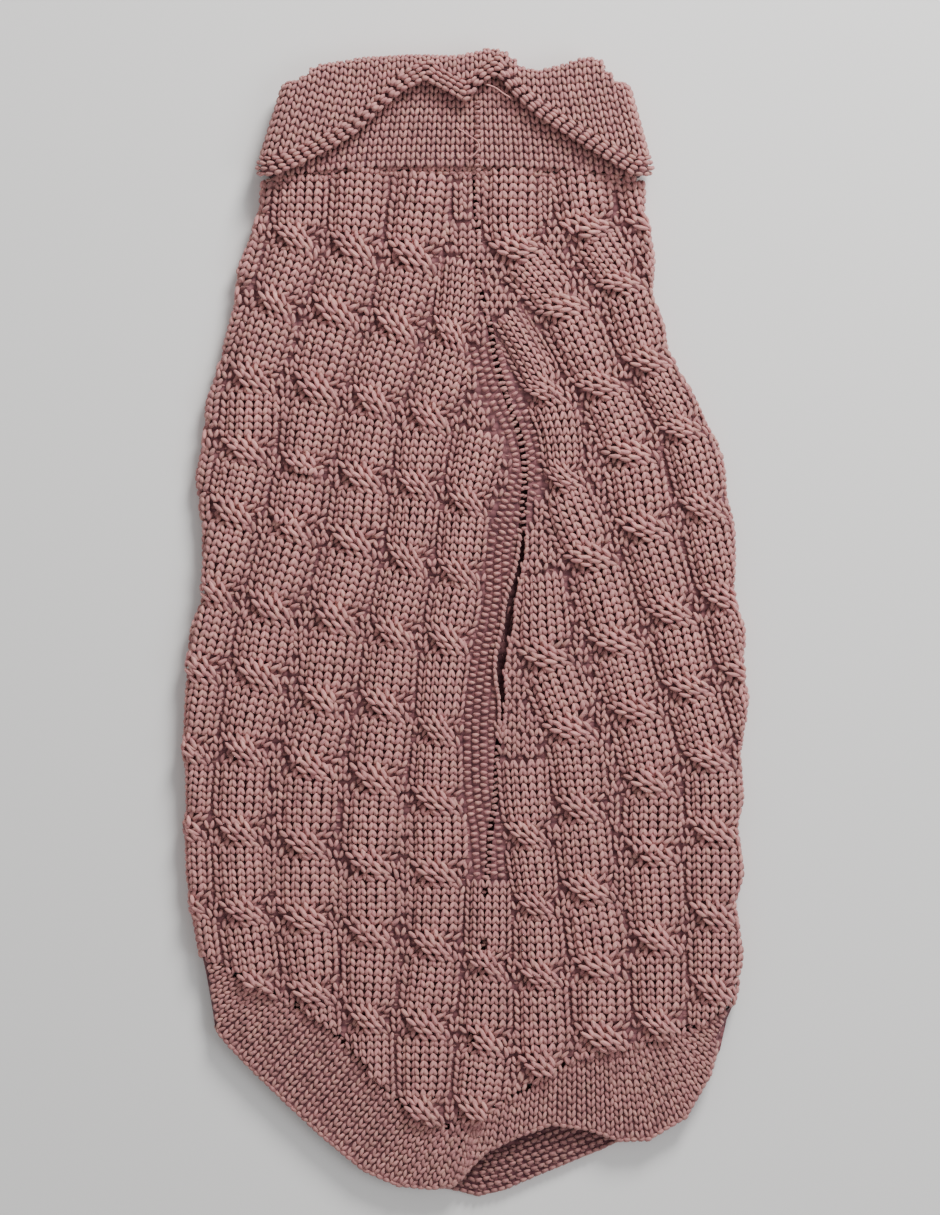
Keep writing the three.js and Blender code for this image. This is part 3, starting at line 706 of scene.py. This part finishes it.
def collar_columns(s, a, kind_of):
    for j in range(20):
        g = EDGE_BAND + (j + 0.5) * ROW
        for purl in (False, True):
            ss = s + (0.5 / NCOL if purl else 0.0) * (np.abs(np.sin(a)) < 0.01)
            aa = a + (math.pi / 10 if purl else 0.0) * (np.abs(np.sin(a)) >= 0.01) * np.sign(a)
            (_, _), straight = flap_path(ss, aa, np.full(len(ss), g), -0.7)
            m = g < straight + RF * math.pi + 1.0
            if not m.any():
                continue
            ss2, aa2 = ss[m], aa[m]
            gg = np.full(len(ss2), g)
            hh = -0.75
            (b, n0), _ = flap_path(ss2, aa2, gg - ROW / 2, hh)
            (t, n1), _ = flap_path(ss2, aa2, gg + ROW / 2, hh)
            n = unit(n0 + n1)
            low = np.cos(aa2) < -0.5
            for kind, q in (("fine", ~low), ("plain", low)):
                if not q.any():
                    continue
                k = q.sum()
                # the recessed purl columns get a darker tone than the knit (0.33 against 0.5): painted shade between
                # the ribs
                if purl:
                    B = t[q] - b[q]
                    A = unit(np.cross(B, n[q]))
                    add_purl("yarn_collar", "plain", (b[q] + t[q]) / 2 - n[q] * 0.75, unit(B), A, n[q], 2.1, 0.6,
                             0.33 + np.zeros(k))
                else:
                    add_knit("yarn_collar", kind, b[q], t[q], n[q], 2.75, 0.80, 0.5 + rng.normal(0, 0.04, k))


collar_columns(ring[:, 0], ring[:, 1], None)
# garter edge of the flap: rows of bumps that follow the free edge
sa = []
for i in range(46):
    sa.append(((i + 0.5) / 46, 0.0))
for i in range(6):
    sa.append((1.0, (i + 0.5) / 6 * math.pi))
for i in range(46):
    sa.append((1 - (i + 0.5) / 46, math.pi))
for i in range(6):
    sa.append((0.0, -math.pi + (i + 0.5) / 6 * math.pi))
sa = np.array(sa)
for j, (g, h) in enumerate(((0.4, -0.9), (2.5, 0.1), (4.7, 0.15), (6.7, -0.3))):
    gg = np.full(len(sa), g)
    (p, n), _ = flap_path(sa[:, 0], sa[:, 1], gg, -0.6)
    p = p + n * h
    nxt = np.roll(p, -1, axis=0) - np.roll(p, 1, axis=0)
    A = unit(nxt - n * (nxt * n).sum(1, keepdims=True))
    shift = A * (1.5 if j % 2 else 0.0)
    add_purl("yarn_collar", "fine", p + shift, np.cross(n, A), A, n, 3.6, 0.95, 0.5 + np.zeros(len(sa)))
# the collar's stand, which shows inside the arch of the flap; its knit is toned a little darker than the flap's (0.47
# against 0.5) and its purl darker still (0.30): painted shade under the flap and between the ribs
s = (np.arange(NCOL) + 0.5) / NCOL
for j in range(13):
    for purl in (False, True):
        ss = s + (0.5 / NCOL if purl else 0.0)
        y = c_base(ss) + (j + 0.5) * ROW
        m = (y < c_edge(ss) + 9) & (y < c_fold(ss) - 3)
        if not m.any():
            continue
        k = m.sum()
        one = np.ones(k)
        d = RIBW - 0.75
        b, n0 = collar_pt(ss[m], 0 * one, d, y[m] - ROW / 2, one, 0 * one)
        t, n1 = collar_pt(ss[m], 0 * one, d, y[m] + ROW / 2, one, 0 * one)
        n = n0
        if purl:
            A = np.tile([[1.0, 0, 0]], (k, 1))
            add_purl("yarn_collar", "plain", (b + t) / 2 - n * 0.75, unit(t - b), A, n, 2.1, 0.6, 0.30 + np.zeros(k))
        else:
            add_knit("yarn_collar", "fine", b, t, n, 2.75, 0.8, 0.47 + rng.normal(0, 0.04, k))
# seam up the stand and its thread ends
yy = np.arange(178, 206, 1.9)
x = 4.6 + 0.35 * np.sin(yy * 1.7)
p = np.stack([x, yy, np.full(len(yy), ZC + H0 + RIBW + 0.2)], -1)
n = np.tile([[0.0, 0, 1.0]], (len(yy), 1))
add_purl("yarn_collar", "fine", p, np.tile([[0, 1.0, 0]], (len(yy), 1)), np.tile([[1.0, 0.35, 0]], (len(yy), 1)), n,
         2.4, 0.75, 0.42 + np.zeros(len(yy)))


def curl(points, r, tone):
    P = np.array(points, float)
    q = np.linspace(0, len(P) - 1, 7 * (len(P) - 1) + 1)
    ext = np.vstack([2 * P[0] - P[1], P, 2 * P[-1] - P[-2]])
    i = np.clip(np.floor(q).astype(int), 0, len(P) - 2)
    f = (q - i)[:, None]
    a, b, c, d = ext[i], ext[i + 1], ext[i + 2], ext[i + 3]
    line = 0.5 * (2 * b + (c - a) * f + (2 * a - 5 * b + 4 * c - d) * f * f + (3 * b - a - 3 * c + d) * f ** 3)
    add_tube("yarn_collar", line, r, tone)


zt = ZC + H0 + RIBW + 0.9
curl([(-2.7, 194.0, zt), (1.2, 191.2, zt + 1.2), (4.6, 188.8, zt + 1.6), (5.0, 186.0, zt + 1.2), (2.4, 183.2, zt + 0.8),
      (0.2, 183.4, zt + 0.5)], 0.32, 0.74)
curl([(8.2, 210.8, zt + 3.6), (11.5, 209.6, zt + 3.4), (14.5, 207.6, zt + 2.6), (17.7, 205.9, zt + 1.2)], 0.32, 0.78)

# ------------------------------------------------------------------ materials
def node(nt, kind, at, **vals):
    n = nt.nodes.new(kind)
    n.location = at
    for k, v in vals.items():
        setattr(n, k, v)
    return n


def yarn_material(name, dark=1.0, fine=True):
    m = bpy.data.materials.new(name)
    m.use_nodes = True
    nt = m.node_tree
    nt.nodes.clear()
    L = nt.links.new
    out = node(nt, "ShaderNodeOutputMaterial", (900, 0))
    bsdf = node(nt, "ShaderNodeBsdfPrincipled", (600, 0))
    L(bsdf.outputs[0], out.inputs[0])
    bsdf.inputs["Roughness"].default_value = 0.72
    bsdf.inputs["Specular IOR Level"].default_value = 0.32
    bsdf.inputs["Sheen Weight"].default_value = 0.30
    bsdf.inputs["Sheen Roughness"].default_value = 0.42
    bsdf.inputs["Sheen Tint"].default_value = (1.0, 0.80, 0.78, 1)
    tc = node(nt, "ShaderNodeTexCoord", (-1300, 0))
    # heather: patches of rose, tan and mauve fibre
    n1 = node(nt, "ShaderNodeTexNoise", (-1000, 260))
    n1.inputs["Scale"].default_value = 320.0
    n1.inputs["Detail"].default_value = 4.0
    n1.inputs["Roughness"].default_value = 0.65
    L(tc.outputs["Object"], n1.inputs["Vector"])
    r1 = node(nt, "ShaderNodeValToRGB", (-780, 260))
    e = r1.color_ramp.elements
    e[0].position, e[0].color = 0.30, (0.400 * dark, 0.165 * dark, 0.175 * dark, 1)
    e[1].position, e[1].color = 0.72, (0.560 * dark, 0.300 * dark, 0.255 * dark, 1)
    mid = r1.color_ramp.elements.new(0.50)
    mid.color = (0.500 * dark, 0.225 * dark, 0.218 * dark, 1)
    L(n1.outputs["Fac"], r1.inputs["Fac"])
    # fine fibre streaks that follow the yarn: lighter fibres, and painted glossy highlights along each leg
    uv = node(nt, "ShaderNodeUVMap", (-1300, -200))
    uv.uv_map = "yarn"
    mp = node(nt, "ShaderNodeMapping", (-1100, -200))
    mp.inputs["Scale"].default_value = (1.6, 9.0, 1.0)
    mp.inputs["Rotation"].default_value = (0, 0, 0.32)
    L(uv.outputs["UV"], mp.inputs["Vector"])
    n2 = node(nt, "ShaderNodeTexNoise", (-880, -200))
    n2.inputs["Scale"].default_value = 1.5
    n2.inputs["Detail"].default_value = 3.0
    n2.inputs["Roughness"].default_value = 0.6
    L(mp.outputs["Vector"], n2.inputs["Vector"])
    r2 = node(nt, "ShaderNodeMapRange", (-660, -200))
    r2.inputs["From Min"].default_value = 0.3
    r2.inputs["From Max"].default_value = 0.7
    r2.inputs["To Min"].default_value = 0.70
    r2.inputs["To Max"].default_value = 1.32
    L(n2.outputs["Fac"], r2.inputs["Value"])
    # tone of each stitch: a random spread, plus painted shade and light for stitches low and high in the relief, for
    # purl bumps and for parts lying under others
    at = node(nt, "ShaderNodeAttribute", (-880, 20))
    at.attribute_name = "tone"
    r3 = node(nt, "ShaderNodeMapRange", (-660, 20))
    r3.inputs["From Min"].default_value = 0.2
    r3.inputs["From Max"].default_value = 0.8
    r3.inputs["To Min"].default_value = 0.58
    r3.inputs["To Max"].default_value = 1.42
    L(at.outputs["Fac"], r3.inputs["Value"])
    mul = node(nt, "ShaderNodeMath", (-440, -60), operation="MULTIPLY")
    L(r2.outputs["Result"], mul.inputs[0])
    L(r3.outputs["Result"], mul.inputs[1])
    vm = node(nt, "ShaderNodeVectorMath", (-220, 120), operation="SCALE")
    L(r1.outputs["Color"], vm.inputs[0])
    L(mul.outputs[0], vm.inputs["Scale"])
    L(vm.outputs[0], bsdf.inputs["Base Color"])
    bp = node(nt, "ShaderNodeBump", (200, -300))
    bp.inputs["Strength"].default_value = 0.55
    bp.inputs["Distance"].default_value = 0.0005
    L(n2.outputs["Fac"], bp.inputs["Height"])
    L(bp.outputs["Normal"], bsdf.inputs["Normal"])
    return m


def base_material(name):
    """Inner face and ground of the knit: purl texture in the same yarn, painted very dark as the shade in the gaps
    between stitches.
    """
    m = bpy.data.materials.new(name)
    m.use_nodes = True
    nt = m.node_tree
    nt.nodes.clear()
    L = nt.links.new
    out = node(nt, "ShaderNodeOutputMaterial", (900, 0))
    bsdf = node(nt, "ShaderNodeBsdfPrincipled", (600, 0))
    L(bsdf.outputs[0], out.inputs[0])
    bsdf.inputs["Roughness"].default_value = 0.9
    bsdf.inputs["Specular IOR Level"].default_value = 0.2
    bsdf.inputs["Sheen Weight"].default_value = 0.15
    tc = node(nt, "ShaderNodeTexCoord", (-1100, 0))
    mp = node(nt, "ShaderNodeMapping", (-900, 0))
    mp.inputs["Scale"].default_value = (290.0, 350.0, 290.0)
    L(tc.outputs["Object"], mp.inputs["Vector"])
    vo = node(nt, "ShaderNodeTexVoronoi", (-680, 0), feature="F1")
    vo.inputs["Scale"].default_value = 1.0
    vo.inputs["Randomness"].default_value = 0.35
    L(mp.outputs["Vector"], vo.inputs["Vector"])
    # painted shade: dark overall and darkest at the cell edges, for the shadowed pits between stitches
    rp = node(nt, "ShaderNodeValToRGB", (-440, 0))
    e = rp.color_ramp.elements
    e[0].position, e[0].color = 0.1, (0.30, 0.125, 0.135, 1)
    e[1].position, e[1].color = 0.75, (0.085, 0.030, 0.040, 1)
    L(vo.outputs["Distance"], rp.inputs["Fac"])
    L(rp.outputs["Color"], bsdf.inputs["Base Color"])
    bp = node(nt, "ShaderNodeBump", (200, -300), invert=True)
    bp.inputs["Strength"].default_value = 0.8
    bp.inputs["Distance"].default_value = 0.0012
    L(vo.outputs["Distance"], bp.inputs["Height"])
    L(bp.outputs["Normal"], bsdf.inputs["Normal"])
    return m


MAT = {"knit": yarn_material("yarn_knit"), "rib": yarn_material("yarn_rib", dark=0.96)}
MAT_GROUND_SHADE = base_material("knit_ground_painted_shade")


# ------------------------------------------------------------------ meshes
def template(kind):
    sides, t, r = STATIONS[kind]
    rings = len(t) - 2
    verts = 2 + rings * sides
    idx = lambda j, i: 1 + j * sides + (i % sides)
    tri, uv = [], []
    for i in range(sides):
        tri.append((0, idx(0, i + 1), idx(0, i)))
        uv.append(((0, (i + 0.5) / sides), (t[1], (i + 1) / sides), (t[1], i / sides)))
    for j in range(rings - 1):
        for i in range(sides):
            a, b, c, d = idx(j, i), idx(j, i + 1), idx(j + 1, i + 1), idx(j + 1, i)
            v0, v1 = i / sides, (i + 1) / sides
            tri += [(a, b, c), (a, c, d)]
            uv += [((t[j + 1], v0), (t[j + 1], v1), (t[j + 2], v1)), ((t[j + 1], v0), (t[j + 2], v1), (t[j + 2], v0))]
    tip = verts - 1
    for i in range(sides):
        tri.append((tip, idx(rings - 1, i), idx(rings - 1, i + 1)))
        uv.append(((1, (i + 0.5) / sides), (t[-2], i / sides), (t[-2], (i + 1) / sides)))
    return verts, np.array(tri), np.array(uv, float)


def build_beans(kind, p0, p1, n, bulge, radius, bend):
    sides, t, r = STATIONS[kind]
    D = unit(p1 - p0)
    U = unit(n - D * (n * D).sum(1, keepdims=True))
    V = np.cross(D, U)
    k = len(p0)
    out = [p0[:, None, :]]
    for j in range(1, len(t) - 1):
        w = math.sin(math.pi * t[j])
        c = p0 + (p1 - p0) * t[j] + U * (bulge * w)[:, None] + bend * w
        ph = np.arange(sides) / sides * 2 * math.pi + (0.3 if kind == "fine" else 0.0)
        ringp = c[:, None, :] + (radius * r[j])[:, None, None] * (
            np.cos(ph)[None, :, None] * U[:, None, :] + np.sin(ph)[None, :, None] * V[:, None, :])
        out.append(ringp)
    out.append(p1[:, None, :])
    return np.concatenate(out, axis=1)


def mesh_object(name, co, tri, uv, tone, mat):
    me = bpy.data.meshes.new(name)
    me.vertices.add(len(co))
    co[:, 2] = np.maximum(co[:, 2], 0.02)
    me.vertices.foreach_set("co", (co * MM).astype(np.float32).ravel())
    nf = len(tri)
    me.loops.add(nf * 3)
    me.polygons.add(nf)
    me.polygons.foreach_set("loop_start", np.arange(0, nf * 3, 3, dtype=np.int32))
    me.loops.foreach_set("vertex_index", tri.astype(np.int32).ravel())
    me.update(calc_edges=True)
    me.polygons.foreach_set("use_smooth", np.ones(nf, dtype=bool))
    layer = me.uv_layers.new(name="yarn")
    layer.data.foreach_set("uv", uv.astype(np.float32).ravel())
    a = me.attributes.new("tone", "FLOAT", "POINT")
    a.data.foreach_set("value", tone.astype(np.float32))
    me.materials.append(mat)
    me.update()
    ob = bpy.data.objects.new(name, me)
    bpy.context.scene.collection.objects.link(ob)
    return ob


MAX_TRIS = 188000
pieces = {}
total = 0
for (group, kind), parts in sorted(store.items()):
    p0, p1, n, bulge, radius, tone, bend = (np.concatenate([q[i] for q in parts]) for i in range(7))
    nv, tri, uv = template(kind)
    per = MAX_TRIS // len(tri)
    chunks = max(1, math.ceil(len(p0) / per))
    size = math.ceil(len(p0) / chunks)
    order = np.argsort(-((p0[:, 1] + p1[:, 1]) / 2), kind="stable")
    for c in range(chunks):
        s = order[c * size:(c + 1) * size]
        co = build_beans(kind, p0[s], p1[s], n[s], bulge[s], radius[s], bend[s])
        k = len(s)
        T = (tri[None] + (np.arange(k) * nv)[:, None, None]).reshape(-1, 3)
        UV = np.broadcast_to(uv[None], (k,) + uv.shape).copy()
        UV += rng.uniform(0, 40, (k, 1, 1, 2))
        tn = np.repeat(tone[s], nv)
        slot = "rib" if ("hem" in group or "collar" in group) else "knit"
        ob = mesh_object("%s_%s%d" % (group, kind[0], c + 1), co.reshape(-1, 3), T, UV.reshape(-1, 2), tn, MAT[slot])
        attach(ob, "root")
        pieces.setdefault(group, []).append(ob)
        total += len(T)
print("yarn triangles", total, {k: [len(o.data.polygons) for o in v] for k, v in pieces.items()})

# ------------------------------------------------------------------ ground cloth, its dark colour painted shade in the gaps between stitches
SHEETS = {
    "back_left": ("knit", 1.5, ["yarn_back_left", "yarn_under_left"], ["belly"]),
    "back_right": ("knit", 1.5, ["yarn_back_right", "yarn_under_right"], ["belly"]),
    "belly": ("knit", 1.5, ["yarn_belly"], []),
    "hem_left": ("rib", 1.1, ["yarn_hem_left"], ["hem_belly"]),
    "hem_right": ("rib", 1.1, ["yarn_hem_right"], ["hem_belly"]),
    "hem_belly": ("rib", 1.1, ["yarn_hem_belly"], []),
    "collar": ("rib", 1.1, ["yarn_collar"], []),
}


def cad_object(name):
    o = bpy.data.objects.get(name)
    if o is None:
        o = next(q for q in bpy.data.objects if q.get("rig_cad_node") == name)
    return o


for name, (slot, inset, groups, rests) in SHEETS.items():
    src = cad_object(name)
    me = src.data.copy()
    ob = bpy.data.objects.new("ground_" + name, me)
    bpy.context.scene.collection.objects.link(ob)
    bm_verts = np.empty(len(me.vertices) * 3, np.float32)
    me.vertices.foreach_get("co", bm_verts)
    import bmesh
    bm = bmesh.new()
    bm.from_mesh(me)
    bmesh.ops.remove_doubles(bm, verts=bm.verts, dist=1e-6)
    bmesh.ops.recalc_face_normals(bm, faces=bm.faces)
    bm.normal_update()
    moves = [v.normal.copy() for v in bm.verts]
    for v, nn in zip(bm.verts, moves):
        v.co -= nn * (inset * MM)
    bm.to_mesh(me)
    area = sum(f.calc_area() for f in bm.faces) / 2
    bm.free()
    me.materials.clear()
    me.materials.append(MAT_GROUND_SHADE)
    for p in me.polygons:
        p.material_index = 0
    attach(ob, "root")
    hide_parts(name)

# ------------------------------------------------------------------ floor, light, camera
scene = bpy.context.scene
fm = bpy.data.meshes.new("floor")
fm.from_pydata([(-3, -3, -0.0003), (3, -3, -0.0003), (3, 3, -0.0003), (-3, 3, -0.0003)], [], [(0, 1, 2, 3)])
floor = bpy.data.objects.new("floor", fm)
scene.collection.objects.link(floor)
mf = bpy.data.materials.new("floor_pale")
mf.use_nodes = True
b = mf.node_tree.nodes["Principled BSDF"]
b.inputs["Base Color"].default_value = (0.86, 0.86, 0.86, 1)
b.inputs["Roughness"].default_value = 0.9
b.inputs["Specular IOR Level"].default_value = 0.1
fm.materials.append(mf)

w = bpy.data.worlds.new("studio")
w.use_nodes = True
w.node_tree.nodes["Background"].inputs[0].default_value = (1.0, 0.985, 0.97, 1)
w.node_tree.nodes["Background"].inputs[1].default_value = 0.46
scene.world = w


def area_light(name, at, aim, size, power, colour=(1, 1, 1)):
    d = bpy.data.lights.new(name, "AREA")
    d.shape = "DISK"
    d.size = size
    d.energy = power
    d.color = colour
    o = bpy.data.objects.new(name, d)
    scene.collection.objects.link(o)
    o.location = at
    o.rotation_euler = (Vector(aim) - Vector(at)).to_track_quat("-Z", "Y").to_euler()
    return o


area_light("key", (0.40, 0.95, 0.62), (0.0, 0.02, 0.0), 0.42, 18.0, (1.0, 0.985, 0.96))
area_light("fill", (0.9, -0.2, 1.0), (0.0, 0.0, 0.0), 0.8, 5.0, (0.97, 0.98, 1.0))

cam = bpy.data.cameras.new("camera")
cam.sensor_fit = "VERTICAL"
cam.sensor_height = 36.0
cam.lens = 85.0
co = bpy.data.objects.new("camera", cam)
scene.collection.objects.link(co)
co.location = (0.0016, 0.0065, 0.4775 * 85.0 / 36.0 + 0.008)
co.rotation_euler = (0, 0, 0)
scene.camera = co

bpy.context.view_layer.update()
